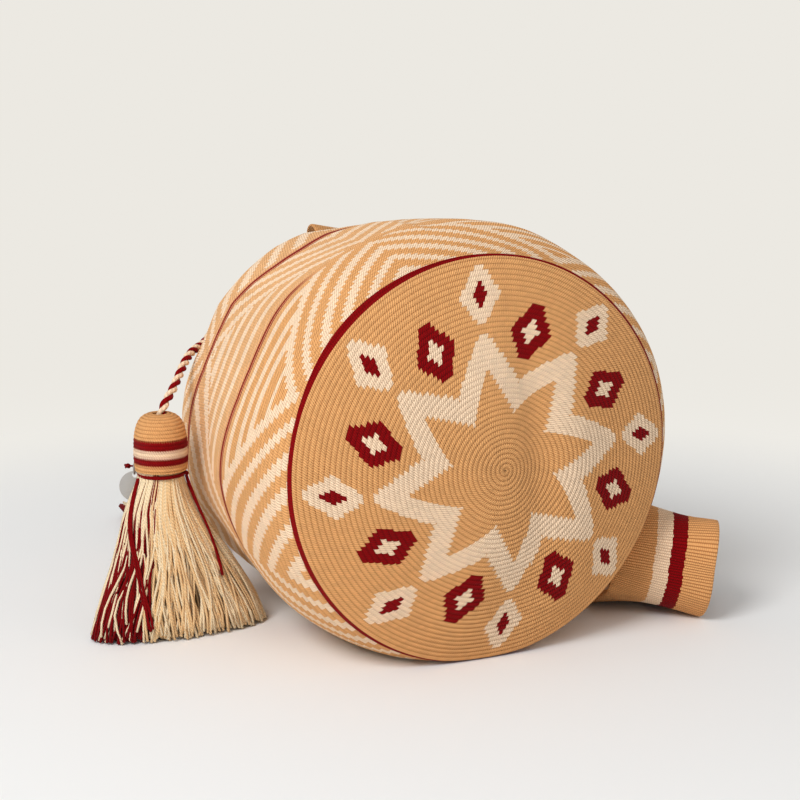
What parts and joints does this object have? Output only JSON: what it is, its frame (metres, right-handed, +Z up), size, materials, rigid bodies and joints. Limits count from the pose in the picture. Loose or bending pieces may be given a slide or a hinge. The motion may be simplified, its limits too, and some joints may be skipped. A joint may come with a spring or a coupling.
{
  "type": "crossbody bag",
  "caption": "Crocheted bucket bag on its side with round patterned base, woven shoulder strap, drawstring, fringed tassels and a round tag.",
  "frame": {"origin": "middle of the flattened underside of the bag body, on the floor", "axes": "+Z up; the bag lies on its side, its axis along +Y from the round base to the mouth; +X to the right seen from the base"},
  "size_m": [0.4103, 0.4435, 0.2651],
  "materials": {
    "crochet": "tight single crochet in cotton yarn, tan with cream and dark red pattern",
    "strap_weave": "dense woven cotton band with crosswise ribs and lengthwise stripes",
    "twisted_cord": "cord of a dark red and a cream strand twisted together",
    "cream_thread": "loose cotton thread, cream",
    "red_thread": "loose cotton thread, dark red",
    "steel": "plain satin metal"
  },
  "bodies": {
    "bag": {"bag_body": "crochet", "shoulder_strap": "strap_weave", "strap_seam_top": "cream_thread", "strap_seam_bottom": "cream_thread", "drawstring": "twisted_cord", "drawstring_end_a": "twisted_cord", "drawstring_end_b": "twisted_cord", "tassel_cap_a": "crochet", "tassel_cap_b": "crochet", "cord_knot_a": "twisted_cord", "cord_knot_b": "twisted_cord", "fringe_cream_a": "cream_thread", "fringe_cream_b": "cream_thread", "fringe_red_a": "red_thread", "fringe_red_b": "red_thread", "tie_thread_a": "red_thread", "tie_thread_b": "red_thread", "tie_strand_left": "red_thread", "tie_strand_right": "red_thread"},
    "tag": {"tag_ring": "steel", "tag_disc": "steel"}
  },
  "joints": [
    {"name": "tag_swing", "type": "hinge", "parent": "bag", "child": "tag", "pos_m": [-0.16772, 0.05306, 0.1034], "axis": [0.9041, -0.4274, 0], "range_deg": [0, 75]}
  ]
}
